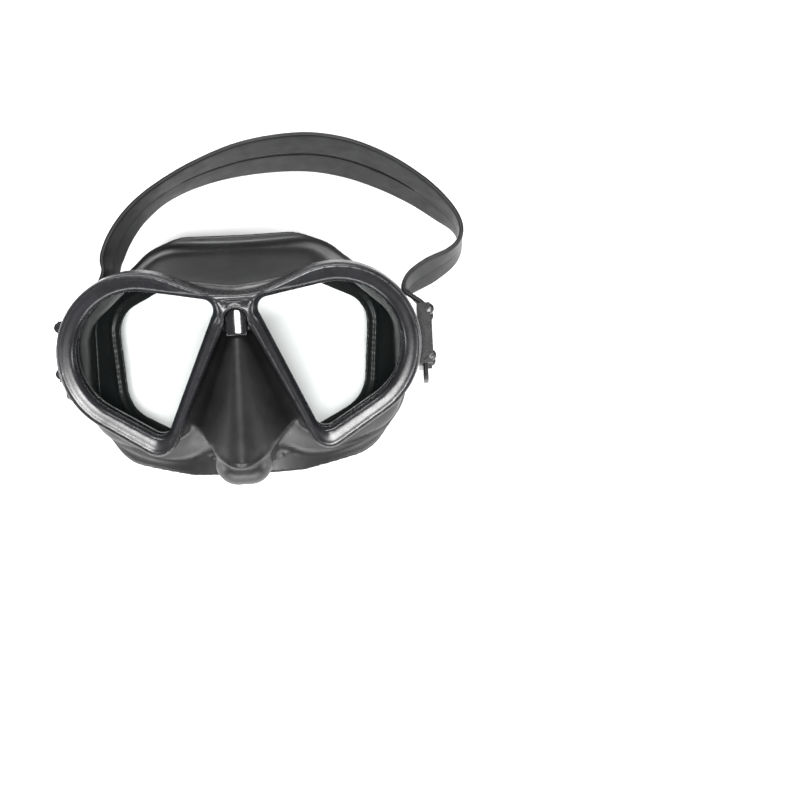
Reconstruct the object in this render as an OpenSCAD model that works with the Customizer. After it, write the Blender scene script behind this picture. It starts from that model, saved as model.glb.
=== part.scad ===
// Two-lens snorkelling mask lying on its face seal, lenses up, with the head strap thrown
// past the forehead side. Millimetres. +Z up, +Y towards the forehead, +X across the mask.

/* [Frame] */
// Lean of the lens plane, forehead side higher, when the mask lies on its seal
tilt = 12; // [8:1:16]
// Outward yaw of each lens
yaw = 5; // [3:0.5:6]
// Height of the bridge's front reference plane above the surface
lie_height = 55.2; // [54:0.1:57]
// Front of the rim above the lens reference plane
rim_front = 4; // [3.5:0.1:4.5]
// Depth of the rim behind the lens reference plane
rim_back = 7; // [6.8:0.1:7.4]

/* [Lens window] */
// Radius of the window's temple side
window_r = 27; // [25:0.5:28]
// Distance of the temple circle from the middle of the mask
window_x = 42; // [41:0.5:43]
// Thickness of the tempered glass
glass_t = 3.2; // [3:0.1:3.2]
// How far the glass reaches under the rim, all round
glass_lap = 2.4; // [2:0.1:2.4]
// How far the rear pocket reaches past the window
pocket_lap = 4.6; // [4.6:0.1:4.8]

/* [Skirt] */
// Wall of the silicone skirt
skirt_t = 2; // [1.6:0.1:2.4]
// Radius of the face that the seal follows
face_r = 100; // [95:1:110]
// Height of the seal at the middle of the forehead
face_lift = 28.1; // [26:0.1:29]

/* [Buckle] */
// Swivel axis of the buckles, height above the surface
swivel_z = 23.7; // [23.4:0.1:24]
// Swivel axis of the buckles, distance towards the forehead
swivel_y = 2.4; // [1:0.1:4]
// Inner plane of the right buckle
buckle_x = 76.4; // [76:0.1:77]
// How far the whole strap lies to the right of the middle
strap_shift = 1.75; // [1:0.05:1.75]
// Half width of a buckle
buckle_half = 12.8; // [12.6:0.1:13]
// Distance of the roller from the swivel axis
roller_u = 10.6; // [10:0.1:11]
// Distance of the lever's pin from the swivel axis
lever_u = -9.4; // [-10:0.1:-9]

/* [Strap] */
// Thickness of the silicone strap
strap_t = 2; // [1.6:0.1:2.1]
// Width of the strap in the buckles
strap_w = 21.6; // [20:0.2:21.8]
// Width of the split rear band
rear_w = 38; // [34:1:40]
// Slope of the strap down from the buckles
strap_slope = 5; // [4:0.5:6]
// Length of the free tail past the swivel axis
tail = 19.5; // [17:0.5:22]

/* [Hidden] */
$fn = 64;
gap = 0.1;
e = 0.01;
arc_step = 8;

rubber = "#1b1b1d";
plastic = "#202124";
steel = "#8e9196";

// Window circles, temple side first, then the nose side and the lower corner, anticlockwise.
window = [[window_x, -0.5, window_r], [14, 17.5, 4.5], [35.5, -30.5, 4.8]];
// Rim circles in the same order.
rim = [[window_x, -0.5, 35.3], [12.5, 16, 9], [36.3, -36, 8.4]];

// ---------- outlines ----------
function arc(c, a0, a1) =
    let (n = max(1, ceil((a1 - a0) / arc_step)))
    [for (i = [0:n]) let (a = a0 + (a1 - a0) * i / n) [c[0] + c[2] * cos(a), c[1] + c[2] * sin(a)]];
// Direction of the outward normal of the tangent that runs from circle p to circle q.
function tangent(p, q) =
    let (d = [q[0] - p[0], q[1] - p[1]]) atan2(d[1], d[0]) - acos((p[2] - q[2]) / norm(d));
function after(a, low) = a < low ? after(a + 360, low) : a >= low + 360 ? after(a - 360, low) : a;
// A belt stretched round circles that are listed anticlockwise, each grown by g.
function belt(circles, g = 0) =
    let (n = len(circles), c = [for (k = circles) [k[0], k[1], k[2] + g]])
    [for (i = [0:n - 1])
        let (a0 = tangent(c[(i + n - 1) % n], c[i]), a1 = after(tangent(c[i], c[(i + 1) % n]), a0))
        each arc(c[i], a0, a1)];
// The same belt for circles on the right half, mirrored to the left half and joined.
function both_halves(c) = concat(c, [for (i = [len(c) - 1:-1:0]) [-c[i][0], c[i][1], c[i][2]]]);

module window2d(g = 0) polygon(belt(window, g));
module rim2d(g = 0) polygon(belt(rim, g));
// Rear pocket for the glass and the skirt's bead, which leaves a wall all round inside the rim.
rim_wall = 0.5;
module pocket2d(g = 0) intersection() {
    window2d(pocket_lap - g);
    rim2d(-rim_wall - g);
}

// ---------- placing ----------
// Mask axes: X across, Y up the lens plane towards the forehead, Z out of the front.
module lie() translate([0, 0, lie_height]) rotate([tilt, 0, 0]) children();
// One lens's own plane, on the right or the left half.
module lens_plane(side) mirror([side < 0 ? 1 : 0, 0, 0]) rotate([0, yaw, 0]) children();
module ply(z0, z1) translate([0, 0, z0]) linear_extrude(z1 - z0) children();
// Buckle axes: Y along the strap, Z across it, X outwards, origin on the swivel axis.
function buckle_plane(side) = side > 0 ? buckle_x : 2 * strap_shift - buckle_x;
module at_buckle(side)
    translate([buckle_plane(side), swivel_y, swivel_z]) rotate([-strap_slope, 0, 0])
    mirror([side < 0 ? 1 : 0, 0, 0]) children();
// Stands a drawing in the buckle's plane and thickens it outwards from w0 to w1.
module plate(w0, w1) translate([w0, 0, 0]) rotate([90, 0, 90]) linear_extrude(w1 - w0) children();
module along_x(u, r, w0, w1) translate([w0, u, 0]) rotate([0, 90, 0]) cylinder(r = r, h = w1 - w0);
module across(u, w, r, half) translate([w, u, -half]) cylinder(r = r, h = 2 * half);

// ---------- frame ----------
tab_s = 75.45;
tab_y = 0;
screw_y = [-5, 2];
screw_r = 0.9;
bridge_top = 24.3;
bridge_low = 14;
notch_r = 5;
notch_y = 13.4;

module frame_half(side) lens_plane(side) {
    ply(-rim_back, rim_front - 1.2) rim2d();
    ply(rim_front - 1.2 - e, rim_front) rim2d(-1.2);
}
module frame() color(plastic) lie() difference() {
    union() {
        for (side = [-1, 1]) frame_half(side);
        translate([-12, bridge_low, -rim_back + 0.5]) cube([24, bridge_top - bridge_low, rim_back + 2.6]);
    }
    translate([0, notch_y, -rim_back - 4]) cylinder(r = notch_r, h = 20);
    for (side = [-1, 1]) lens_plane(side) {
        ply(-rim_back - 4, rim_front + 1) window2d();
        ply(-rim_back - 4, 0) pocket2d();
        for (y = screw_y) translate([tab_s, tab_y + y, -rim_back - 1]) cylinder(r = screw_r + 0.05, h = 5);
    }
}

// Glossy piece that closes the arch under the bridge, over the top of the nose pocket.
clip_half = 4.5;
clip_low = 6.6;
module bridge_clip() color("#0c0c0e") lie() ply(-6, 2.6) {
    intersection() {
        translate([0, notch_y]) circle(r = notch_r);
        translate([-notch_r, notch_y]) square(2 * notch_r);
    }
    translate([-clip_half, clip_low]) square([2 * clip_half, notch_y - clip_low + e]);
}

// ---------- lenses and retainers ----------
lens_front = -0.8;
lens_back = lens_front - glass_t;
lip_back = lens_back - 1.2;
module lens(side) color([0.85, 0.92, 0.92, 0.35]) lie() lens_plane(side) {
    ply(lens_back + 0.4, lens_front) window2d(glass_lap);
    ply(lens_back, lens_back + 0.4 + e) window2d(glass_lap - 0.4);
}
module retainer(side) color(plastic) lie() lens_plane(side)
    ply(-rim_back, lip_back - gap) difference() {
        window2d(2.7);
        window2d(0.5);
    }

// ---------- skirt ----------
// Outlines of the silicone body, right half, at mid depth and at the seal.
mid_circles = [[49, -26, 18.5], [49, 0, 18.5], [26, 18, 20.5]];
seal_circles = [[44, -36, 19], [51.5, -28, 18.5], [52, 2, 18], [26.5, 18.5, 23.3], [20, 20, 24.6]];
chin = [23, -42, 16];
mid_z = -24;
seal_z = -66;
// Opening for the face, right half.
face_circles = [[9, -38, 9], [38, -20, 14], [40, 2, 14], [16, 16, 13]];

module outline(circles, g = 0) polygon(belt(both_halves(circles), g));
module section(circles, z, g = 0) ply(z - 0.4, z) outline(circles, g);
module behind_lens(g, z0, z1) for (side = [-1, 1]) lens_plane(side) ply(z0, z1) window2d(g);
// How far the skirt's front wall stands behind the rim, and its rear face.
front_gap = 0.2;
front_wall = front_gap + skirt_t;
// Depth of the window cut, just through the front wall.
window_cut = -rim_back - front_wall - 0.4;
module skirt_solid(g, front_g, front_z) {
    hull() {
        behind_lens(front_g, front_z - 0.4, front_z);
        section(concat([chin + [0, 0, -1]], mid_circles), mid_z, g);
    }
    hull() {
        section(concat([chin + [0, 0, -1]], mid_circles), mid_z, g);
        section(concat([chin], seal_circles), seal_z, g);
    }
}
// Balls under the nose pocket, as X, Y, Z and radius: its ridge, and the bulb at the tip.
nose_ridge = [[0, 9, -6, 6.5], [0, -20, 4, 9.5], [0, -38, 11, 12.5]];
nose_bulb = [[-2.5, -46.5, 8, 8.8], [2.5, -46.5, 8, 8.8], [0, -40, -8, 15]];
nose_base_z = [-14, -9.5];
module ball(b, g) translate([b[0], b[1], b[2]]) sphere(r = b[3] + g, $fn = 28);
module nose_base(g) ply(nose_base_z[0], nose_base_z[1])
    polygon([[-7 - g, 8], [-25 - g, -38], [-20 - g, -48 - g], [20 + g, -48 - g], [25 + g, -38], [7 + g, 8]]);
// The pocket that takes the nose, swelling out between the two lenses.
module nose(g) {
    hull() {
        for (b = nose_ridge) ball(b, g);
        nose_base(g);
    }
    hull() for (b = nose_bulb) ball(b, g);
}
// The face's round front, standing in the world's own axes.
module face(g = 0) translate([0, 0, face_lift - face_r]) rotate([90, 0, 0])
    cylinder(r = face_r + g, h = 300, center = true, $fn = 120);
module bead(side) lens_plane(side) {
    ply(lens_front + gap, -e) difference() { pocket2d(gap); window2d(0.3); }
    ply(-rim_back - 1.9, -e) difference() { pocket2d(gap); window2d(2.9); }
    ply(lip_back, lens_back - gap) difference() { pocket2d(gap); window2d(0.3); }
    ply(-rim_back - 1.9, -rim_back - gap) difference() { pocket2d(gap); window2d(0.5); }
}
module skirt() color(rubber) render() {
    difference() {
        lie() difference() {
            union() {
                skirt_solid(0, pocket_lap - 0.3, -rim_back - front_gap);
                difference() { nose(0); lens_stack_room(); }
            }
            skirt_solid(-skirt_t, 1.2, -rim_back - front_wall);
            difference() { nose(-skirt_t); clip_room(skirt_t); }
            behind_lens(1.5, window_cut, 1);
        }
        face(0.4);
    }
    lie() for (side = [-1, 1]) bead(side);
    intersection() {
        difference() { face(1.6); face(); }
        lie() ply(seal_z, 0) difference() {
            outline(concat([chin], seal_circles), -0.5);
            outline(face_circles);
        }
    }
}
// Room for the rims, the clip and the lenses beside the nose.
module lens_stack_room() {
    for (side = [-1, 1]) lens_plane(side) ply(-rim_back - front_gap, 30) rim2d(0.4);
    clip_room(0);
}
clip_room_half = 12.4;
module clip_room(g) translate([-clip_room_half - g, clip_low - 0.3 - g, -rim_back - g])
    cube([2 * (clip_room_half + g), 20 + g, 30]);

// ---------- side tabs ----------
tab_in = -2.8;
tab_out = -0.6;
neck_t = 0.7;
foot_t = 2.2;
eye_r = 5;
head_t = 0.7;
head_sunk = 0.8;
// Foot of the tab, under the rim's solid edge.
module tab_foot(side) lens_plane(side) ply(-rim_back - foot_t, -rim_back - e) intersection() {
    rim2d(-0.3);
    translate([tab_s - 1.1, tab_y - 7.5]) square([3.6, 12]);
}
// Thin neck between the skirt and the buckle's upper edge.
module tab_neck(side) at_buckle(side) translate([tab_out - neck_t, -6, 13.4]) cube([neck_t, 7.5, 0.6]);
// A flat eye beside the buckle, cranked outwards over the buckle to the foot.
module side_tab(side) color(rubber) difference() {
    union() {
        hull() {
            at_buckle(side) along_x(0, eye_r, tab_in, tab_out);
            tab_neck(side);
        }
        hull() {
            tab_neck(side);
            lie() tab_foot(side);
        }
    }
    at_buckle(side) along_x(0, 1.6, -9, 4);
    lie() lens_plane(side) for (y = screw_y) translate([tab_s, tab_y + y, -40]) {
        cylinder(r = screw_r + 0.05, h = 40);
        cylinder(r = 1.75, h = 40 - rim_back - foot_t + head_sunk);
    }
}
module tab_screws(side) color(steel) lie() lens_plane(side)
    for (y = screw_y) translate([tab_s, tab_y + y, -rim_back - foot_t + head_sunk - head_t]) {
        cylinder(r = screw_r, h = 4.6);
        cylinder(r = 1.6, h = head_t);
    }

// ---------- buckles ----------
body_low = -0.4;
body_mid = 1.2;
body_high = 6.2;
cheek_in = 11.2;
pin_w = 4.7;
pin_r = 0.8;
roller_r = 1.4;
module swivel_pin(side) color(steel) at_buckle(side) {
    along_x(0, 1.6, -2.8, 0.5);
    along_x(0, 3.1, 0.45, 1.1);
    along_x(0, 2.6, -3.4, -2.8);
}
module cheek2d() {
    translate([lever_u, pin_w - 0.1]) circle(r = 2.4);
    translate([roller_u, pin_w - 0.1]) circle(r = 2.4);
    translate([lever_u - 3.4, body_low]) square([roller_u - lever_u + 6.2, body_high - 0.9 - body_low]);
}
module buckle_body(side) color(plastic) at_buckle(side) difference() {
    union() {
        plate(body_low, body_mid) hull() for (u = [lever_u - 1, roller_u - 0.2], v = [-1, 1])
            translate([u, v * (buckle_half - 3.2)]) circle(r = 3.2);
        for (v = [-buckle_half, cheek_in]) translate([0, 0, v]) linear_extrude(buckle_half - cheek_in)
            rotate(90) mirror([0, 1]) cheek2d();
    }
    along_x(0, 1.65, -2, 4);
    along_x(0, 3.2, 0.4, 4);
    across(lever_u, pin_w, pin_r, buckle_half + 1);
    across(roller_u, pin_w, pin_r, buckle_half + 1);
}
module headed_pin(u) {
    across(u, pin_w, pin_r - 0.01, buckle_half + 0.1);
    for (v = [-1, 1]) translate([pin_w, u, v * (buckle_half + 0.35)]) cylinder(r = 1.5, h = 0.7, center = true);
}
module roller_axle(side) color(steel) at_buckle(side) headed_pin(roller_u);
module lever_pin(side) color(steel) at_buckle(side) headed_pin(lever_u);
module roller(side) color(plastic) at_buckle(side) translate([pin_w, roller_u, 0]) difference() {
    linear_extrude(2 * cheek_in - 0.4, center = true) difference() {
        circle(r = roller_r);
        for (a = [0:30:330]) rotate(a) translate([roller_r + 0.12, 0]) circle(r = 0.24, $fn = 16);
    }
    cylinder(r = pin_r + 0.05, h = 40, center = true);
}
lever_low = 3.45;
spring_half = 3.2;
module release_lever(side) color(plastic) at_buckle(side) difference() {
    translate([0, 0, -cheek_in + 0.3]) linear_extrude(2 * cheek_in - 0.6) {
        translate([pin_w, lever_u]) circle(r = 1.25);
        translate([lever_low + 0.15, lever_u]) square([2.2, roller_u - lever_u - 2.2]);
        translate([lever_low, 1]) square([1, 2.2]);
    }
    across(lever_u, pin_w, pin_r + 0.05, buckle_half);
    translate([pin_w - 3, lever_u - 3, -spring_half]) cube([6, 5.2, 2 * spring_half]);
}
module lever_spring(side) color(steel) at_buckle(side) translate([pin_w, lever_u, 0]) {
    rotate_extrude() translate([pin_r + 0.08, -spring_half + 0.2]) square([0.35, 2 * spring_half - 0.4]);
    translate([-0.2, pin_r + 0.1, -spring_half + 0.2]) cube([0.35, 1.2, 0.35]);
}

// ---------- strap ----------
// Middle of the band at rest, from the left tail round the rear to the right tail:
// X, Y, Z, lean of the top edge outwards in degrees, and width.
w_mid = body_mid + 0.05 + strap_t / 2;
function in_buckle(side, u) = [buckle_plane(side) + side * w_mid, swivel_y + u * cos(strap_slope),
    swivel_z - u * sin(strap_slope), 0, strap_w];
route = [
    in_buckle(-1, -tail), in_buckle(-1, -8), in_buckle(-1, 3), in_buckle(-1, 11), in_buckle(-1, 14.2),
    [-71.7, 21.5, 21.9, 2, 21.6], [-65.3, 27.4, 21.5, 2, 21.6], [-59.5, 32.4, 21.3, 4, 21.6],
    [-56.3, 37.8, 21.3, 10, 21.6], [-55.3, 44, 21.5, 17, 22], [-51, 53, 21.3, 17, 22.5],
    [-43.5, 62.5, 20.7, 14, 24], [-32, 71.5, 19.6, 10, 28], [-16, 79, 18.6, 11, 33],
    [5, 84.5, 18.4, 15, 37], [28, 86, 18.4, 18, rear_w], [46, 83.2, 18.3, 19, rear_w],
    [63, 76.5, 18.1, 19, 36], [78.5, 67, 18.6, 19, 31], [89.5, 57.5, 19.8, 17, 26],
    [95.6, 50, 20.4, 8, 23], [96.4, 43, 20.8, -3, 22], [92, 36.6, 21.2, -15, 22],
    [83, 31.4, 21.5, -24, 21.6], [75.4, 27, 21.7, -20, 21.6], [72.2, 23, 22, -8, 21.6],
    [75.4, 19.4, 22.3, -1, 21.6],
    in_buckle(1, 14.2), in_buckle(1, 11), in_buckle(1, 3), in_buckle(1, -8), in_buckle(1, -tail)];
steps = 4;
last = (len(route) - 1) * steps;
// The slit down the rear band runs between these stations, counted along the band.
slit_from = 50;
slit_to = 72;
slit_half = 0.9;

function clamp_i(i) = min(max(i, 0), len(route) - 1);
function station(k) =
    let (i = min(floor(k / steps), len(route) - 2), t = k / steps - i,
        a = route[clamp_i(i - 1)], b = route[i], c = route[i + 1], d = route[clamp_i(i + 2)])
    ((2 * b) + (c - a) * t + (2 * a - 5 * b + 4 * c - d) * pow(t, 2) + (3 * b - a - 3 * c + d) * pow(t, 3)) / 2;
function place(s) = [s[0], s[1], s[2]];
function unit(v) = v / norm(v);
function heading(k) = unit(place(station(min(k + 0.5, last))) - place(station(max(k - 0.5, 0))));
function band_up(k) =
    let (t = heading(k), out = unit(cross([0, 0, 1], t)), up = cross(t, out), s = station(k))
    up * cos(s[3]) + out * sin(s[3]);
// Half of the slit's gap at a station, closing towards both ends.
function slit(k) = 0.15 + (slit_half - 0.15) * min(1, (k - slit_from) / 6, (slit_to - k) / 6);
// Eight corners of the band at a station: four across the inner face, four across the outer.
function ring(k) =
    let (s = station(k), up = band_up(k), out = cross(up, heading(k)), h = s[4] / 2,
        g = k >= slit_from && k <= slit_to ? slit(k) : 0.15)
    [for (face_side = [-1, 1], v = [-h, -g, g, h]) place(s) + up * v + out * (face_side * strap_t / 2)];
function in_slit(k) = k >= slit_from && k < slit_to;
function quad(a, b, c, d) = [[a, c, b], [a, d, c]];
module strap() color(rubber) polyhedron(
    points = [for (k = [0:last]) each ring(k)],
    faces = concat(
        [for (k = [0:last - 1]) let (o = 8 * k) each concat(
            [for (j = [0, 1, 2]) if (j != 1 || !in_slit(k)) each concat(
                quad(o + j, o + j + 8, o + j + 9, o + j + 1),
                quad(o + j + 4, o + j + 5, o + j + 13, o + j + 12))],
            quad(o, o + 4, o + 12, o + 8), quad(o + 3, o + 11, o + 15, o + 7),
            in_slit(k) ? concat(quad(o + 1, o + 9, o + 13, o + 5), quad(o + 2, o + 6, o + 14, o + 10)) : [])],
        [for (j = [0, 1, 2]) each quad(j, j + 1, j + 5, j + 4)],
        [for (j = [0, 1, 2]) let (o = 8 * last) each quad(o + j, o + j + 4, o + j + 5, o + j + 1)],
        let (o = 8 * slit_from) quad(o + 1, o + 5, o + 6, o + 2),
        let (o = 8 * slit_to) quad(o + 1, o + 2, o + 6, o + 5)));

frame();
bridge_clip();
skirt();
strap();
for (side = [-1, 1]) {
    end = side < 0 ? "_left" : "_right";
    lens(side);
    retainer(side);
    side_tab(side);
    tab_screws(side);
    swivel_pin(side);
    buckle_body(side);
    roller(side);
    roller_axle(side);
    release_lever(side);
    lever_pin(side);
    lever_spring(side);
}
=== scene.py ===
import math

import bpy
import numpy as np
import openvdb
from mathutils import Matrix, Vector


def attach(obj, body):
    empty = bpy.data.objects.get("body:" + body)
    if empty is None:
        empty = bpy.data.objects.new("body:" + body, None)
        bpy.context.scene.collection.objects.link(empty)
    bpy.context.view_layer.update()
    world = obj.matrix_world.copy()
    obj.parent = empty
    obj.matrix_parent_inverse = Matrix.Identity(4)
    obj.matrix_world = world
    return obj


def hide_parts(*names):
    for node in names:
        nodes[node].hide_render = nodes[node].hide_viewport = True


MM = 0.001
SIDES = ((-1, "_left"), (1, "_right"))

# ---------- camera: straight down on the objects, the mask to the left ----------
SENSOR_WIDTH = 36
FOCAL_LENGTH = 96.43
CAMERA_PLACE = (0.0668, -0.0245, 0.9548)
CAMERA_TURN = math.radians(-3)

camera_data = bpy.data.cameras.new("camera")
camera_data.sensor_width = SENSOR_WIDTH
camera_data.lens = FOCAL_LENGTH
camera_data.clip_start = 0.02
camera_data.clip_end = 30
camera = bpy.data.objects.new("camera", camera_data)
camera.location = CAMERA_PLACE
camera.rotation_euler = (0, 0, CAMERA_TURN)
bpy.context.scene.collection.objects.link(camera)
bpy.context.scene.camera = camera

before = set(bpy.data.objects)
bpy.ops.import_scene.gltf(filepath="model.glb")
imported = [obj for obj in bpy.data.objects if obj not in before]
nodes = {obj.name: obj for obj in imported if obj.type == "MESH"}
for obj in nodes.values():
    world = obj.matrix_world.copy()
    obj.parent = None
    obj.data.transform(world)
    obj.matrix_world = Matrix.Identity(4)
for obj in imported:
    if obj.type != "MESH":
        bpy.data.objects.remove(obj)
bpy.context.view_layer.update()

# ---------- the mask's own axes: X across, Y up the lens plane, Z out of the front ----------
# The lens plane leans by TILT, and each lens turns back by YAW at its outer edge.
TILT = math.radians(12)
YAW = math.radians(5)
# Height of the axes' origin in the row frame, and depth of the rims behind it.
LIE = 55.2
RIM_BACK = 7.0
# The face is a cylinder along the row frame's Y, with its top at FACE_LIFT.
FACE_R = 100.0
FACE_LIFT = 28.1
# Depths of the skirt's middle and seal outlines.
MID_Z = -24.0
SEAL_Z = -66.0
# Outlines of the right half: circles (x, y, radius) with a belt stretched round them.
WINDOW = [(42, -0.5, 27), (14, 17.5, 4.5), (35.5, -30.5, 4.8)]
RIM = [(42, -0.5, 35.3), (12.5, 16, 9), (36.3, -36, 8.4)]
MID = [(23, -42, 15), (49, -26, 18.5), (49, 0, 18.5), (26, 18, 20.5)]
SEAL = [(23, -42, 16), (44, -36, 19), (51.5, -28, 18.5), (52, 2, 18), (26.5, 18.5, 23.3), (20, 20, 24.6)]
FACE_OPENING = [(9, -38, 9), (38, -20, 14), (40, 2, 14), (16, 16, 13)]


def to_world(points):
    """Mask axes in millimetres to the row frame in metres."""
    c, s = math.cos(TILT), math.sin(TILT)
    p = np.asarray(points, float)
    return np.stack(
        [p[:, 0], p[:, 1] * c - p[:, 2] * s, p[:, 1] * s + p[:, 2] * c + LIE], axis=1
    ) * MM


# ---------- outlines: belts stretched round circles ----------
BELT_STEP = math.radians(3)
FINE_STEP = math.radians(1)


def tangent(p, q):
    """Outward direction of the line that touches two circles."""
    dx, dy = q[0] - p[0], q[1] - p[1]
    return math.atan2(dy, dx) - math.acos((p[2] - q[2]) / math.hypot(dx, dy))


def belt(circles, step=BELT_STEP):
    """Points round a belt, each as its circle (x, y, radius) and outward direction."""
    points = []
    count = len(circles)
    for i, (x, y, r) in enumerate(circles):
        a0 = tangent(circles[i - 1], circles[i])
        a1 = tangent(circles[i], circles[(i + 1) % count])
        while a1 < a0:
            a1 += math.tau
        while a1 >= a0 + math.tau:
            a1 -= math.tau
        n = max(1, math.ceil((a1 - a0) / step))
        for k in range(n + 1):
            a = a0 + (a1 - a0) * k / n
            points.append((x, y, r, a))
    return points


def both_halves(circles):
    """The right half's circles, then their mirror images in reverse order."""
    return list(circles) + [(-x, y, r) for x, y, r in reversed(circles)]


class Outline:
    """Signed distance to a closed outline, tabled once and then looked up."""

    STEP = 0.25
    MARGIN = 16.0

    def __init__(self, circles, step=BELT_STEP):
        ring = belt(circles, step)
        pts = np.array([(x + r * math.cos(a), y + r * math.sin(a)) for x, y, r, a in ring])
        self.low = pts.min(0) - self.MARGIN
        size = ((pts.max(0) + self.MARGIN - self.low) / self.STEP).astype(int) + 2
        gx = (self.low[0] + np.arange(size[0]) * self.STEP)[:, None]
        gy = (self.low[1] + np.arange(size[1]) * self.STEP)[None, :]
        best = np.full(tuple(size), 1e9)
        inside = np.zeros(tuple(size), bool)
        for (ax, ay), (bx, by) in zip(pts, np.roll(pts, -1, 0)):
            ex, ey = bx - ax, by - ay
            length_squared = ex * ex + ey * ey
            if length_squared < 1e-9:
                continue
            t = np.clip(((gx - ax) * ex + (gy - ay) * ey) / length_squared, 0, 1)
            np.minimum(best, (gx - ax - ex * t) ** 2 + (gy - ay - ey * t) ** 2, out=best)
            if abs(ey) > 1e-12:
                crosses = ((ay <= gy) & (by > gy)) | ((by <= gy) & (ay > gy))
                inside ^= crosses & (gx < ax + (gy - ay) * ex / ey)
        distance = np.sqrt(best)
        self.table = np.where(inside, -distance, distance).astype(np.float32)

    def at(self, x, y):
        u, v = np.broadcast_arrays((x - self.low[0]) / self.STEP, (y - self.low[1]) / self.STEP)
        u = np.clip(u, 0, self.table.shape[0] - 1.001)
        v = np.clip(v, 0, self.table.shape[1] - 1.001)
        i, j = u.astype(np.int32), v.astype(np.int32)
        fu, fv = (u - i).astype(np.float32), (v - j).astype(np.float32)
        t = self.table
        return (t[i, j] * (1 - fu) + t[i + 1, j] * fu) * (1 - fv) + (
            t[i, j + 1] * (1 - fu) + t[i + 1, j + 1] * fu
        ) * fv


def path_distance(points, x, y):
    """Distance in the plane to an open line of points."""
    best = None
    for (ax, ay), (bx, by) in zip(points[:-1], points[1:]):
        ex, ey = bx - ax, by - ay
        t = np.clip(((x - ax) * ex + (y - ay) * ey) / (ex * ex + ey * ey), 0, 1)
        d = np.hypot(x - ax - ex * t, y - ay - ey * t)
        best = d if best is None else np.minimum(best, d)
    return best


def smin(a, b, k):
    """Union of two fields, blended over a width k."""
    h = np.clip(0.5 + 0.5 * (b - a) / k, 0, 1)
    return b * (1 - h) + a * h - k * h * (1 - h)


def smax(a, b, k):
    """Intersection of two fields, blended over a width k."""
    return -smin(-a, -b, k)


def smoothstep(a, b, x):
    t = np.clip((x - a) / (b - a), 0, 1)
    return t * t * (3 - 2 * t)


def half_grid(low, high, step):
    """Axes of a grid over the right half, whose first plane is the mask's middle."""
    x = np.arange(0, high[0] + step, step, dtype=np.float32)[:, None, None]
    y = np.arange(low[1], high[1] + step, step, dtype=np.float32)[None, :, None]
    z = np.arange(low[2], high[2] + step, step, dtype=np.float32)[None, None, :]
    return x, y, z


def lens_axes(x, z):
    """A right lens's own X and Z."""
    c, s = math.cos(YAW), math.sin(YAW)
    return x * c - z * s, x * s + z * c


def mesh_object(name, verts, faces, body):
    """A smooth-shaded object that rides on a body."""
    mesh = bpy.data.meshes.new(name)
    mesh.from_pydata([tuple(v) for v in verts], [], [tuple(int(i) for i in f) for f in faces])
    mesh.validate()
    mesh.update()
    mesh.polygons.foreach_set("use_smooth", [True] * len(mesh.polygons))
    obj = bpy.data.objects.new(name, mesh)
    bpy.context.scene.collection.objects.link(obj)
    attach(obj, body)
    return obj


def apply_modifiers(obj):
    """Puts the mesh that the modifiers make in place of the object's own."""
    graph = bpy.context.evaluated_depsgraph_get()
    new = bpy.data.meshes.new_from_object(obj.evaluated_get(graph))
    old = obj.data
    obj.modifiers.clear()
    obj.data = new
    bpy.data.meshes.remove(old)


SMOOTHING = 8


def from_field(name, field_of, low, high, step, body, keep=1.0):
    """A closed smooth mesh where a field, worked out on the right half, is below zero."""
    x, y, z = half_grid(low, high, step)
    field = field_of(x, y, z)
    full = np.concatenate([field[:0:-1], field], axis=0).astype(np.float32)
    # the step as the grid's rounded numbers hold it
    pitch = float(y[0, 1, 0] - y[0, 0, 0])
    grid = openvdb.FloatGrid()
    grid.copyFromArray(np.ascontiguousarray(full))
    points, quads = grid.convertToQuads(isovalue=0.0)
    points = np.asarray(points, float) * pitch
    points += np.array([-(field.shape[0] - 1) * pitch, float(y[0, 0, 0]), float(z[0, 0, 0])])
    quads = np.asarray(quads)
    a, b, c, d = (points[quads[:, k]] for k in range(4))
    volume = np.einsum("ij,ij->i", a, np.cross(b, c)) + np.einsum("ij,ij->i", a, np.cross(c, d))
    if volume.sum() < 0:
        quads = quads[:, ::-1]
    obj = mesh_object(name, to_world(points), quads, body)
    relax = obj.modifiers.new("relax", "SMOOTH")
    relax.factor = 0.5
    relax.iterations = SMOOTHING
    if keep < 1:
        thin = obj.modifiers.new("thin", "DECIMATE")
        thin.ratio = keep
    apply_modifiers(obj)
    obj.data.polygons.foreach_set("use_smooth", [True] * len(obj.data.polygons))
    return obj


window = Outline(WINDOW, FINE_STEP)
rim = Outline(RIM, FINE_STEP)
front_hull = Outline(both_halves(WINDOW))
mid_outline = Outline(both_halves(MID))
seal_outline = Outline(both_halves(SEAL))
face_opening = Outline(both_halves(FACE_OPENING))


# ---------- materials ----------
def new_material(name):
    mat = bpy.data.materials.new(name)
    mat.use_nodes = True
    return mat, mat.node_tree.nodes, mat.node_tree.links, mat.node_tree.nodes["Principled BSDF"]


def noise(nt_nodes, links, scale, detail=4.0, rough=0.55):
    where = nt_nodes.new("ShaderNodeTexCoord")
    tex = nt_nodes.new("ShaderNodeTexNoise")
    tex.inputs["Scale"].default_value = scale
    tex.inputs["Detail"].default_value = detail
    tex.inputs["Roughness"].default_value = rough
    links.new(where.outputs["Object"], tex.inputs["Vector"])
    return tex


def ranged(nt_nodes, links, source, low, high):
    """A noise's usual range stretched to run from low to high."""
    ramp = nt_nodes.new("ShaderNodeMapRange")
    ramp.inputs["From Min"].default_value = 0.3
    ramp.inputs["From Max"].default_value = 0.7
    ramp.inputs["To Min"].default_value = low
    ramp.inputs["To Max"].default_value = high
    links.new(source, ramp.inputs["Value"])
    return ramp.outputs["Result"]


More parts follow.
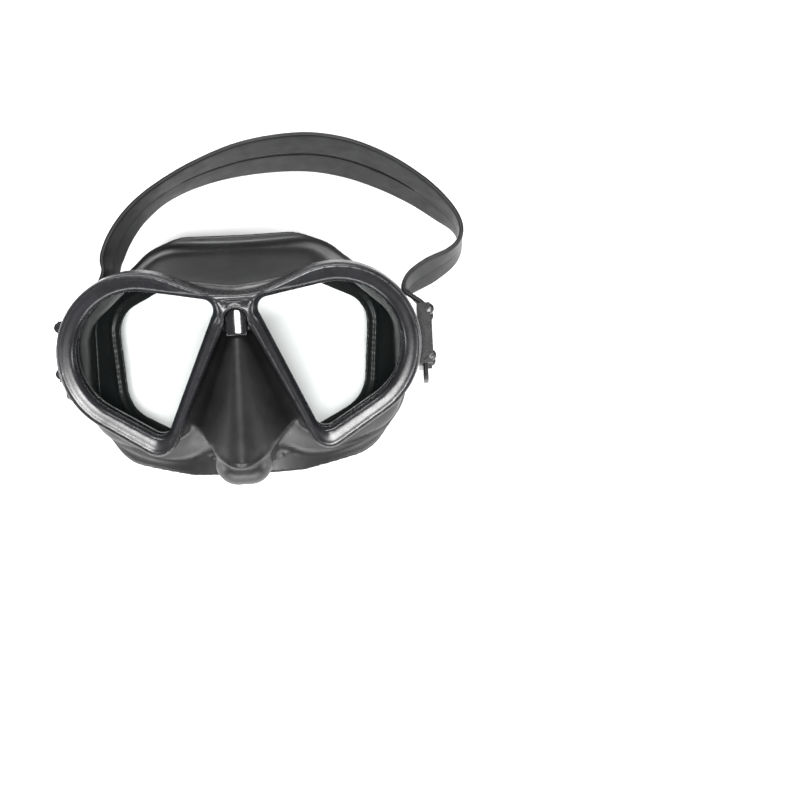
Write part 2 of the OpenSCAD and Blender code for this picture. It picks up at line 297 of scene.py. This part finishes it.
def bumps(nt_nodes, links, height, strength, depth, below=None):
    """A bump layer's normal, laid over the layer below it."""
    bump = nt_nodes.new("ShaderNodeBump")
    bump.inputs["Strength"].default_value = strength
    bump.inputs["Distance"].default_value = depth
    links.new(height, bump.inputs["Height"])
    if below is not None:
        links.new(below, bump.inputs["Normal"])
    return bump.outputs["Normal"]


def moulded(
    name, dark, light, rough_low, rough_high, grain, grain_depth, wave=0.0, wave_scale=60.0, specular=0.5
):
    """Moulded rubber or plastic: slight cloudiness, uneven gloss, fine grain and a soft unevenness."""
    mat, ns, links, shader = new_material(name)
    clouds = noise(ns, links, 70.0, 3.0)
    colour = ns.new("ShaderNodeValToRGB")
    colour.color_ramp.elements[0].position = 0.3
    colour.color_ramp.elements[0].color = (*dark, 1)
    colour.color_ramp.elements[1].position = 0.7
    colour.color_ramp.elements[1].color = (*light, 1)
    links.new(clouds.outputs["Fac"], colour.inputs["Fac"])
    links.new(colour.outputs["Color"], shader.inputs["Base Color"])
    smears = noise(ns, links, 160.0, 5.0, 0.6)
    links.new(ranged(ns, links, smears.outputs["Fac"], rough_low, rough_high), shader.inputs["Roughness"])
    shader.inputs["Specular IOR Level"].default_value = specular
    fine = noise(ns, links, grain, 2.0)
    surface = bumps(ns, links, fine.outputs["Fac"], 0.6, grain_depth)
    if wave:
        slow = noise(ns, links, wave_scale, 1.0)
        surface = bumps(ns, links, slow.outputs["Fac"], 0.5, wave, surface)
    links.new(surface, shader.inputs["Normal"])
    return mat


def steel_material():
    mat, ns, links, shader = new_material("stainless_steel")
    shader.inputs["Metallic"].default_value = 1.0
    shader.inputs["Base Color"].default_value = (0.55, 0.56, 0.58, 1)
    streaks = noise(ns, links, 900.0, 3.0)
    links.new(ranged(ns, links, streaks.outputs["Fac"], 0.22, 0.38), shader.inputs["Roughness"])
    links.new(bumps(ns, links, streaks.outputs["Fac"], 0.3, 0.00002), shader.inputs["Normal"])
    return mat


def glass_material():
    mat, ns, links, shader = new_material("clear_glass")
    shader.inputs["Base Color"].default_value = (0.02, 0.03, 0.03, 1)
    film = noise(ns, links, 40.0, 2.0)
    links.new(ranged(ns, links, film.outputs["Fac"], 0.015, 0.04), shader.inputs["Roughness"])
    clear = ns.new("ShaderNodeBsdfTransparent")
    clear.inputs["Color"].default_value = (0.985, 0.995, 0.99, 1)
    fresnel = ns.new("ShaderNodeFresnel")
    fresnel.inputs["IOR"].default_value = 1.45
    mix = ns.new("ShaderNodeMixShader")
    links.new(fresnel.outputs["Fac"], mix.inputs["Fac"])
    links.new(clear.outputs["BSDF"], mix.inputs[1])
    links.new(shader.outputs["BSDF"], mix.inputs[2])
    links.new(mix.outputs["Shader"], ns["Material Output"].inputs["Surface"])
    return mat


satin = moulded(
    "satin_plastic", (0.005, 0.005, 0.006), (0.010, 0.010, 0.012), 0.24, 0.32,
    grain=2600.0, grain_depth=0.000012, specular=0.4,
)
gloss = moulded(
    "gloss_plastic", (0.006, 0.006, 0.007), (0.010, 0.010, 0.012), 0.07, 0.13,
    grain=900.0, grain_depth=0.000006,
)
buckle_plastic = moulded(
    "buckle_plastic", (0.005, 0.005, 0.006), (0.010, 0.010, 0.011), 0.22, 0.32,
    grain=2200.0, grain_depth=0.00003, specular=0.4,
)
skirt_silicone = moulded(
    "skirt_silicone", (0.006, 0.006, 0.006), (0.011, 0.011, 0.0115), 0.32, 0.44,
    grain=3200.0, grain_depth=0.00002, wave=0.00012, specular=0.35,
)
strap_silicone = moulded(
    "strap_silicone", (0.006, 0.006, 0.0065), (0.012, 0.012, 0.0125), 0.38, 0.50,
    grain=2800.0, grain_depth=0.00002, wave=0.00010, wave_scale=45.0, specular=0.2,
)
steel = steel_material()
glass = glass_material()


def paint(obj, mat):
    obj.data.materials.clear()
    obj.data.materials.append(mat)


# ---------- frame: two rims with a beaded edge, joined by the bridge ----------
NOTCH_Y = 13.4
NOTCH_R = 5.0
BRIDGE_HALF = 12.0
BRIDGE_TOP = 24.3
BRIDGE_LOW = 14.0
BRIDGE_FRONT = 3.15
BRIDGE_BACK = -6.5
BRIDGE_ROUND = 1.2
ARCH_R = 0.85
RIM_WALL = 0.9
POCKET_LAP = 4.6

# Height of the rim's front against the way in from its edge: a bead, then a gentle slope.
BEAD_IN = np.linspace(-3, 13, 801)
raw_bead = np.interp(
    BEAD_IN,
    [-3, 0, 0.7, 1.5, 2.4, 3.2, 4.2, 5.4, 6.8, 10],
    [3.3, 3.3, 3.8, 4.0, 3.8, 3.4, 3.3, 3.1, 2.7, 2.3],
)
soft_kernel = np.exp(-np.linspace(-3, 3, 91) ** 2 / 2)
BEAD_HEIGHT = np.convolve(
    np.pad(raw_bead, 45, mode="edge"), soft_kernel / soft_kernel.sum(), mode="valid"
)


def bridge_field(x, y, z):
    """A rounded block with a raised top edge, a groove below it, and a slight rise to each side."""
    lip = 0.75 * smoothstep(21.4, 22.4, y)
    groove = 0.5 * smoothstep(20.6, 21.0, y) * (1 - smoothstep(21.2, 21.8, y))
    front = BRIDGE_FRONT + (lip - groove)
    top = BRIDGE_TOP + 0.25 * smoothstep(0, 7, x)
    bx = x - BRIDGE_HALF + BRIDGE_ROUND
    by = np.abs(y - (top + BRIDGE_LOW) / 2) - (top - BRIDGE_LOW) / 2 + BRIDGE_ROUND
    bz = np.abs(z - (front + BRIDGE_BACK) / 2) - (front - BRIDGE_BACK) / 2 + BRIDGE_ROUND
    corner = np.sqrt(np.maximum(bx, 0) ** 2 + np.maximum(by, 0) ** 2 + np.maximum(bz, 0) ** 2)
    return corner + np.minimum(np.maximum(np.maximum(bx, by), bz), 0) - BRIDGE_ROUND


def frame_field(x, y, z):
    """A rim with its bead, window and pocket, and half of the bridge."""
    lx, lz = lens_axes(x, z)
    d = rim.at(lx, y)
    w = window.at(lx, y)
    bead = np.interp(-d, BEAD_IN, BEAD_HEIGHT).astype(np.float32)
    lobe = smax(d, lz - bead, 1.4)
    lobe = smax(lobe, -RIM_BACK - lz, 0.8)
    solid = smin(lobe, bridge_field(x, y, z), 2.4)
    # the slope down to the glass, the window, and the pocket behind for the glass and its ring
    solid = smax(solid, (lz - 0.45 - 1.5 * w) / 1.8, 0.5)
    solid = smax(solid, -w, 0.35)
    pocket = np.maximum(np.maximum(w - POCKET_LAP, lz), d + RIM_WALL)
    solid = np.maximum(solid, -pocket)
    # the notch for the clip, with a raised arch round it
    from_notch = np.hypot(x, y - NOTCH_Y)
    solid = smax(solid, NOTCH_R - from_notch, 0.5)
    arch = np.hypot(from_notch - NOTCH_R - ARCH_R, z - BRIDGE_FRONT) - ARCH_R * smoothstep(10.5, 13.0, y)
    return smin(solid, np.maximum(arch, 10.0 - y), 0.5)


frame_piece = from_field("mask_frame", frame_field, (0, -47, -15.5), (78.5, 38, 5.5), 0.46, "mask")
paint(frame_piece, satin)
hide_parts("frame")


# ---------- glossy clip under the bridge ----------
CLIP_LOW = 6.7
CLIP_HALF = 4.5
CLIP_R = 4.85
CLIP_FRONT = 3.2
CLIP_BACK = -6.0


def clip_field(x, y, z):
    """A block with a round top and a domed front, which slopes back towards the bridge."""
    half = np.interp(y, [6, 12, NOTCH_Y], [CLIP_HALF, CLIP_HALF, CLIP_R]).astype(np.float32)
    side = np.where(y > NOTCH_Y, np.hypot(x, y - NOTCH_Y) - CLIP_R, x - half)
    side = smax(side, CLIP_LOW - y - 0.02 * x * x, 0.8)
    crown = CLIP_FRONT - 0.12 * (y - CLIP_LOW) - 0.7 * (x / 4.6) ** 2
    return smax(smax(side, z - crown, 0.9), CLIP_BACK - z, 0.5)


clip_piece = from_field("bridge_clip_piece", clip_field, (0, 5.5, -7), (6, 19.5, 4), 0.25, "mask")
paint(clip_piece, gloss)
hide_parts("bridge_clip")

# ---------- silicone skirt ----------
WALL = 2.0
FRONT_GAP = 0.2
FRONT_INSET = 4.3
MIDDLE_ROUND = 10.0
WINDOW_CUT = 2.6
SOFT_CELLS = 6
CLIP_ROOM_HALF = 12.4
CLIP_ROOM_LOW = 6.4
# The seal's flange, and the raised line beside its opening.
FLANGE_T = 1.6
LINE_OUT = 4.4
LINE_HEIGHT = 1.9
LINE_R = 0.95
# The nose pocket starts under the bridge and ends in a curved edge at TIP_Y.
NOSE_START = 9.0
NOSE_BASE_Z = -12.0
NOSE_BACK_Z = -16.0
RIDGE_START = 0.4
RIDGE_SLOPE = 0.4796
RIDGE_SAG = 0.00084
TIP_Y = -45.6
TIP_CURVE = 0.028
RIB_R = 0.9
BULB = [(0, -46.5, 8, 8.8), (2.5, -46.5, 8, 8.8), (0, -40, -8, 15)]
RIB = [(x, TIP_Y + 0.3 + TIP_CURVE * x * x) for x in (0, 4, 8, 12, 15)]


def cone_chain(x, y, z, balls):
    """Distance to balls (x, y, z, radius) joined by tapering rods."""
    best = None
    for (ax, ay, az, ar), (bx, by, bz, br) in zip(balls[:-1], balls[1:]):
        ex, ey, ez = bx - ax, by - ay, bz - az
        length_squared = ex * ex + ey * ey + ez * ez
        t = np.clip(((x - ax) * ex + (y - ay) * ey + (z - az) * ez) / length_squared, 0, 1)
        to_rod = np.sqrt((x - ax - ex * t) ** 2 + (y - ay - ey * t) ** 2 + (z - az - ez * t) ** 2)
        d = to_rod - (ar + (br - ar) * t)
        best = d if best is None else smin(best, d, 3.0)
    return best


def nose_field(x, y, z):
    """A rounded ridge between the lenses, with flanks that widen towards the tip."""
    back = NOSE_START - y
    top = RIDGE_START + RIDGE_SLOPE * back - RIDGE_SAG * back**2
    base_w = np.interp(y, [-48, -38, 8], [25, 24, 7]).astype(np.float32)
    bend = 2.0 + 0.38 * base_w
    slope = (top - NOSE_BASE_Z) / (np.sqrt(base_w**2 + bend**2) - bend)
    height = top - slope * (np.sqrt(x * x + bend**2) - bend)
    ridge = (z - height) / np.sqrt(1 + (slope * x / np.sqrt(x * x + bend**2)) ** 2 + 0.25)
    ridge = smax(ridge, TIP_Y + TIP_CURVE * x * x - y, 3.0)
    ridge = smax(ridge, y - NOSE_START, 3.0)
    return np.maximum(ridge, NOSE_BACK_Z - z)


def averaged_along_z(field):
    """Each value averaged with its neighbours in front and behind, which softens a bend."""
    padded = np.pad(field, ((0, 0), (0, 0), (SOFT_CELLS, SOFT_CELLS)), mode="edge")
    shifts = range(0, 2 * SOFT_CELLS + 1, 2)
    return sum(padded[:, :, k : k + field.shape[2]] for k in shifts) / (SOFT_CELLS + 1)


def skirt_field(x, y, z):
    """A shell from the rims to the seal, with the nose pocket and the rib round its tip."""
    lx, lz = lens_axes(x, z)
    soft_x = np.sqrt(x * x + MIDDLE_ROUND**2)
    front = front_hull.at(lens_axes(soft_x, z)[0], y) - FRONT_INSET
    mid = mid_outline.at(x, y)
    seal = seal_outline.at(x, y)
    front_z = (-RIM_BACK - FRONT_GAP - soft_x * math.sin(YAW)) / math.cos(YAW)
    t = np.clip((front_z - z) / (front_z - MID_Z), 0, 1)
    u = np.clip((MID_Z - z) / (MID_Z - SEAL_Z), 0, 1)
    body = averaged_along_z(((1 - t) * front + t * mid) * (1 - u) + u * seal)
    nose = nose_field(x, y, z)
    bulb = cone_chain(x, y, z, BULB)
    # the outside, with room for the rims and the clip
    outside = smax(body, lz + RIM_BACK + FRONT_GAP, 1.0)
    outside = smin(outside, nose, 5.0)
    outside = smin(outside, bulb, 3.0)
    rib = np.hypot(path_distance(RIB, x, y), nose * 0.9) - RIB_R * (1 - smoothstep(7, 15.5, x))
    outside = smin(outside, rib, 0.9)
    room = np.maximum(rim.at(lx, y) - 0.3, -RIM_BACK - 0.15 - lz)
    clip_room = np.maximum(np.maximum(x - CLIP_ROOM_HALF, CLIP_ROOM_LOW - y), -RIM_BACK - z)
    outside = np.maximum(outside, -np.minimum(room, clip_room))
    # the inside, open to each window
    inside = smax(body + WALL, lz + RIM_BACK + (FRONT_GAP + WALL), 1.5)
    inside = smin(inside, np.minimum(nose, bulb) + WALL, 3.0)
    way = np.maximum(window.at(lx, y) - 1.5, -RIM_BACK - WINDOW_CUT - lz)
    inside = smin(inside, way, 1.2)
    shell = smax(outside, -inside, 0.6)
    # the seal: a thin flange on the face, with a raised line beside its opening
    up = y * math.sin(TILT) + z * math.cos(TILT) + LIE
    face = np.sqrt(x * x + (up - FACE_LIFT + FACE_R) ** 2) - FACE_R
    opening = face_opening.at(x, y)
    flange = np.abs(face - FLANGE_T / 2) - FLANGE_T / 2
    flange = smax(flange, np.maximum(seal + 0.5, -opening), 0.7)
    line = np.hypot(opening - LINE_OUT, face - LINE_HEIGHT) - LINE_R * smoothstep(24, 34, x)
    shell = np.maximum(shell, 0.4 - face)
    skin = smin(shell, flange, 2.6)
    skin = smin(skin, line, 0.8)
    return np.maximum(skin, -face)


skirt_piece = from_field(
    "silicone_skirt", skirt_field, (0, -62, -60), (74.5, 50, 26), 0.6, "mask", keep=0.5
)
paint(skirt_piece, skirt_silicone)
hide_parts("skirt")


# ---------- silicone lips that hold the glass, seen inside each rim ----------
def swept_ring(name, circles, profile, side, body):
    """A closed profile of (growth, Z) pairs carried round a belt in a lens's own plane."""
    ring = belt(circles, LIP_STEP)
    c, s = math.cos(YAW), math.sin(YAW)
    verts, faces = [], []
    size = len(profile)
    for cx, cy, r, a in ring:
        for g, zz in profile:
            px, py = cx + (r + g) * math.cos(a), cy + (r + g) * math.sin(a)
            verts.append((side * (px * c + zz * s), py, -px * s + zz * c))
    for i in range(len(ring)):
        n = (i + 1) % len(ring)
        for j in range(size):
            m = (j + 1) % size
            quad = (i * size + j, n * size + j, n * size + m, i * size + m)
            faces.append(quad if side > 0 else quad[::-1])
    return mesh_object(name, to_world(verts), faces, body)


LIP_STEP = math.radians(2.5)
LIP = [
    (2.2, -0.75), (2.2, 0.1), (1.2, 0.1), (0.7, 0.2),
    (0.3, 0.15), (0.05, -0.2), (0.05, -0.5), (0.25, -0.75),
]
for side, end in SIDES:
    lip = swept_ring("lens_lip" + end, WINDOW, LIP, side, "mask")
    paint(lip, skirt_silicone)


# ---------- head strap ----------
def spline(route, k, steps):
    """Catmull-Rom curve through a route, at k steps from its start."""
    i = min(int(k // steps), len(route) - 2)
    t = k / steps - i
    a = route[max(i - 1, 0)]
    b, c = route[i], route[i + 1]
    d = route[min(i + 2, len(route) - 1)]
    return (2 * b + (c - a) * t + (2 * a - 5 * b + 4 * c - d) * t**2 + (3 * b - a - 3 * c + d) * t**3) / 2


SLOPE = math.radians(5)
SWIVEL_Y, SWIVEL_Z = 2.4, 23.7
# The buckles stand at equal distances from a plane that is STRAP_SHIFT right of the middle.
STRAP_SHIFT = 1.75
BUCKLE_OUT = 76.4
BUCKLE_X = {-1: 2 * STRAP_SHIFT - BUCKLE_OUT, 1: BUCKLE_OUT}
STRAP_OUT = 2.25
BAND_WIDTH = 21.6
TAIL = 19.5


def in_buckle(side, u):
    """A point of the route inside a buckle, u along the band from the swivel."""
    x = BUCKLE_X[side] + side * STRAP_OUT
    return (x, SWIVEL_Y + u * math.cos(SLOPE), SWIVEL_Z - u * math.sin(SLOPE), 0, BAND_WIDTH)


# Points (x, y, z, lean in degrees, width) from the left end to the right end.
ROUTE = np.array(
    [in_buckle(-1, u) for u in (-TAIL, -8, 3, 11, 14.2)]
    + [
        (-71.7, 21.5, 21.9, 2, 21.6),
        (-65.3, 27.4, 21.5, 2, 21.6),
        (-59.5, 32.4, 21.3, 4, 21.6),
        (-56.3, 37.8, 21.3, 10, 21.6),
        (-55.3, 44, 21.5, 17, 22),
        (-51, 53, 21.3, 17, 22.5),
        (-43.5, 62.5, 20.7, 14, 24),
        (-32, 71.5, 19.6, 10, 28),
        (-16, 79, 18.6, 11, 33),
        (5, 84.5, 18.4, 15, 37),
        (28, 86, 18.4, 18, 38),
        (46, 83.2, 18.3, 19, 38),
        (63, 76.5, 18.1, 19, 36),
        (78.5, 67, 18.6, 19, 31),
        (89.5, 57.5, 19.8, 17, 26),
        (95.6, 50, 20.4, 8, 23),
        (96.4, 43, 20.8, -3, 22),
        (92, 36.6, 21.2, -15, 22),
        (83, 31.4, 21.5, -24, 21.6),
        (75.4, 27, 21.7, -20, 21.6),
        (72.2, 23, 22, -8, 21.6),
        (75.4, 19.4, 22.3, -1, 21.6),
    ]
    + [in_buckle(1, u) for u in (14.2, 11, 3, -8, -TAIL)]
)
STEPS = 12
STRAP_T = 2.0
CORNER = 4.0
EDGE_R = 0.7
EDGE_CUT = EDGE_R * 0.3
EDGE_FLAT = 2.2
# A groove runs along the middle of both faces, and the slit opens out of it.
GROOVE = 0.15
GROOVE_LIP = 0.5
SLIT_FROM = 25 * STEPS // 2
SLIT_TO = 18 * STEPS
SLIT_HALF = 0.9
SLIT_EASE = 14
# Places in the section's loop: its length, and the groove's corners on each face.
LOOP = 24
INNER_A, INNER_B = 2, 3
OUTER_B, OUTER_A = 14, 15


def strap_section(h, g):
    """The band's section as a loop: half width h, and half width g of the groove or slit."""
    t = STRAP_T / 2
    r = EDGE_R
    b = EDGE_CUT
    return [
        (-h + EDGE_FLAT, -t), (-g - GROOVE_LIP, -t), (-g, -t + GROOVE),
        (g, -t + GROOVE), (g + GROOVE_LIP, -t), (h - EDGE_FLAT, -t),
        (h - r, -t), (h - b, -t + b), (h, -t + r), (h, t - r), (h - b, t - b), (h - r, t),
        (h - EDGE_FLAT, t), (g + GROOVE_LIP, t), (g, t - GROOVE),
        (-g, t - GROOVE), (-g - GROOVE_LIP, t), (-h + EDGE_FLAT, t),
        (-h + r, t), (-h + b, t - b), (-h, t - r), (-h, -t + r), (-h + b, -t + b), (-h + r, -t),
    ]


def strap_axes(k, last, lean):
    """The band's width and thickness directions at station k."""
    ahead = spline(ROUTE, min(k + 1.5, last), STEPS)[:3] - spline(ROUTE, max(k - 1.5, 0), STEPS)[:3]
    along = Vector(ahead).normalized()
    out = Vector((0, 0, 1)).cross(along).normalized()
    up = along.cross(out)
    up = up * math.cos(lean) + out * math.sin(lean)
    return up, up.cross(along)


def strap_mesh():
    """The band: sections along the route joined by faces, with the slit left open."""
    last = (len(ROUTE) - 1) * STEPS
    places = np.array([spline(ROUTE, k, STEPS) for k in range(last + 1)])
    run = np.concatenate([[0], np.cumsum(np.linalg.norm(np.diff(places[:, :3], axis=0), axis=1))])
    verts, faces = [], []
    for k, p in enumerate(places):
        up, out = strap_axes(k, last, math.radians(p[3]))
        h = p[4] / 2
        # the corners of both ends are rounded
        near = min(run[k], run[-1] - run[k])
        if near < CORNER:
            h -= CORNER - math.sqrt(max(CORNER**2 - (CORNER - near) ** 2, 0.2))
        g = GROOVE
        if SLIT_FROM <= k <= SLIT_TO:
            ease = min(1, (k - SLIT_FROM) / SLIT_EASE, (SLIT_TO - k) / SLIT_EASE)
            g += (SLIT_HALF - GROOVE) * math.sqrt(ease)
        base = Vector(p[:3])
        verts += [(base + up * v + out * w) * MM for v, w in strap_section(h, g)]
    for k in range(last):
        o, n = k * LOOP, (k + 1) * LOOP
        cut = SLIT_FROM <= k < SLIT_TO
        for j in range(LOOP):
            m = (j + 1) % LOOP
            if cut and j in (INNER_A, OUTER_B):
                continue
            faces.append((o + j, o + m, n + m, n + j))
        if cut:
            faces.append((n + INNER_A, n + OUTER_A, o + OUTER_A, o + INNER_A))
            faces.append((n + OUTER_B, n + INNER_B, o + INNER_B, o + OUTER_B))
    faces.append(tuple(range(LOOP))[::-1])
    faces.append(tuple(last * LOOP + j for j in range(LOOP)))
    for k, turn in ((SLIT_FROM, 1), (SLIT_TO, -1)):
        corners = (INNER_A, INNER_B, OUTER_B, OUTER_A)
        faces.append(tuple(k * LOOP + j for j in corners)[::turn])
    return verts, faces


verts, faces = strap_mesh()
strap_piece = mesh_object("head_strap_band", verts, faces, "head_strap")
normals_fix = strap_piece.modifiers.new("corners", "WEIGHTED_NORMAL")
normals_fix.keep_sharp = True
paint(strap_piece, strap_silicone)
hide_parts("strap")


# ---------- torsion springs, coiled round the lever pins ----------
LEVER_U = -9.4
PIN_W = 4.7
COIL_R = 1.06
WIRE_R = 0.16
COIL_HALF = 2.85
TURNS = 15
PER_TURN = 20
LEG = 1.1


def at_buckle(side, w, u, v):
    """A place in a buckle's own axes: w outward, u along the band, v across it."""
    c, s = math.cos(SLOPE), math.sin(SLOPE)
    return Vector((BUCKLE_X[side] + side * w, SWIVEL_Y + u * c + v * s, SWIVEL_Z - u * s + v * c))


def spring_route(side):
    """Middle of the wire: a leg, the coil, and a second leg."""
    count = TURNS * PER_TURN
    coil = [
        (PIN_W + COIL_R * math.sin(math.tau * k / PER_TURN),
         LEVER_U + COIL_R * math.cos(math.tau * k / PER_TURN),
         -COIL_HALF + 2 * COIL_HALF * k / count)
        for k in range(count + 1)
    ]
    start = (PIN_W - LEG, coil[0][1], coil[0][2])
    end = (PIN_W + LEG, coil[-1][1], coil[-1][2])
    return [at_buckle(side, *p) for p in [start] + coil + [end]]


def wire_mesh(route, radius, sides=8):
    """A closed round wire along a route."""
    verts, faces = [], []
    across = None
    for i, p in enumerate(route):
        along = (route[min(i + 1, len(route) - 1)] - route[max(i - 1, 0)]).normalized()
        across = along.orthogonal() if across is None else across - along * across.dot(along)
        across.normalize()
        other = along.cross(across)
        for k in range(sides):
            a = math.tau * k / sides
            verts.append((p + (across * math.cos(a) + other * math.sin(a)) * radius) * MM)
    for i in range(len(route) - 1):
        for k in range(sides):
            m = (k + 1) % sides
            faces.append((i * sides + k, i * sides + m, (i + 1) * sides + m, (i + 1) * sides + k))
    faces.append(tuple(range(sides))[::-1])
    faces.append(tuple((len(route) - 1) * sides + k for k in range(sides)))
    return verts, faces


for side, end in SIDES:
    spring = mesh_object("torsion_spring" + end, *wire_mesh(spring_route(side), WIRE_R), "head_strap")
    paint(spring, steel)
    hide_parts("lever_spring" + end)


# ---------- carried-over CAD parts ----------
WELD = 0.00002
SHARP = math.radians(35)


def soften(obj, width):
    """Rounded edges on a part that comes over from the CAD."""
    weld = obj.modifiers.new("weld", "WELD")
    weld.merge_threshold = WELD
    bevel = obj.modifiers.new("edge", "BEVEL")
    bevel.width = width
    bevel.segments = 2
    bevel.limit_method = "ANGLE"
    bevel.angle_limit = SHARP
    bevel.harden_normals = False
    obj.modifiers.new("normals", "WEIGHTED_NORMAL")


for _, end in SIDES:
    paint(nodes["lens" + end], glass)
    for node, mat, width in (
        ("retainer", satin, 0.0002),
        ("side_tab", skirt_silicone, 0.00015),
        ("tab_screws", steel, 0.0001),
        ("swivel_pin", steel, 0.00015),
        ("buckle_body", buckle_plastic, 0.0003),
        ("roller", buckle_plastic, 0.0001),
        ("roller_axle", buckle_plastic, 0.00025),
        ("release_lever", buckle_plastic, 0.0003),
        ("lever_pin", buckle_plastic, 0.00025),
    ):
        paint(nodes[node + end], mat)
        soften(nodes[node + end], width)

# ---------- floor and light ----------
FLOOR_HALF = 6.0
FLOOR_DROP = 0.0002
AIM = (0.01, 0.02, 0.03)


def make_floor():
    mesh = bpy.data.meshes.new("floor")
    h = FLOOR_HALF
    mesh.from_pydata([(-h, -h, 0), (h, -h, 0), (h, h, 0), (-h, h, 0)], [], [(0, 1, 2, 3)])
    obj = bpy.data.objects.new("floor", mesh)
    obj.location.z = -FLOOR_DROP
    bpy.context.scene.collection.objects.link(obj)
    mat, _, _, shader = new_material("floor_white")
    shader.inputs["Base Color"].default_value = (0.9, 0.9, 0.9, 1)
    shader.inputs["Roughness"].default_value = 0.7
    shader.inputs["Specular IOR Level"].default_value = 0.2
    obj.data.materials.append(mat)
    return obj


def make_world(strength):
    world = bpy.data.worlds.new("studio")
    bpy.context.scene.world = world
    world.use_nodes = True
    background = world.node_tree.nodes["Background"]
    background.inputs["Color"].default_value = (1, 1, 1, 1)
    background.inputs["Strength"].default_value = strength


def softbox(name, place, size, power, aim=AIM):
    data = bpy.data.lights.new(name, "AREA")
    data.shape = "RECTANGLE"
    data.size, data.size_y = size
    data.energy = power
    obj = bpy.data.objects.new(name, data)
    obj.location = place
    obj.rotation_euler = (Vector(aim) - Vector(place)).to_track_quat("-Z", "Y").to_euler()
    bpy.context.scene.collection.objects.link(obj)


floor = make_floor()
make_world(0.30)
bpy.context.scene.view_settings.view_transform = "Standard"
softbox("above", (0.05, -0.25, 2.2), (0.6, 0.6), 58, (0, 0, 0))
softbox("back", (-0.1, 1.0, 0.9), (1.3, 0.2), 26)
softbox("front", (0.0, -1.25, 0.28), (1.8, 0.3), 26)
softbox("right", (1.2, -0.35, 0.35), (0.3, 1.0), 14)
softbox("left", (-1.2, -0.45, 0.35), (0.3, 1.0), 14)

bpy.context.view_layer.update()
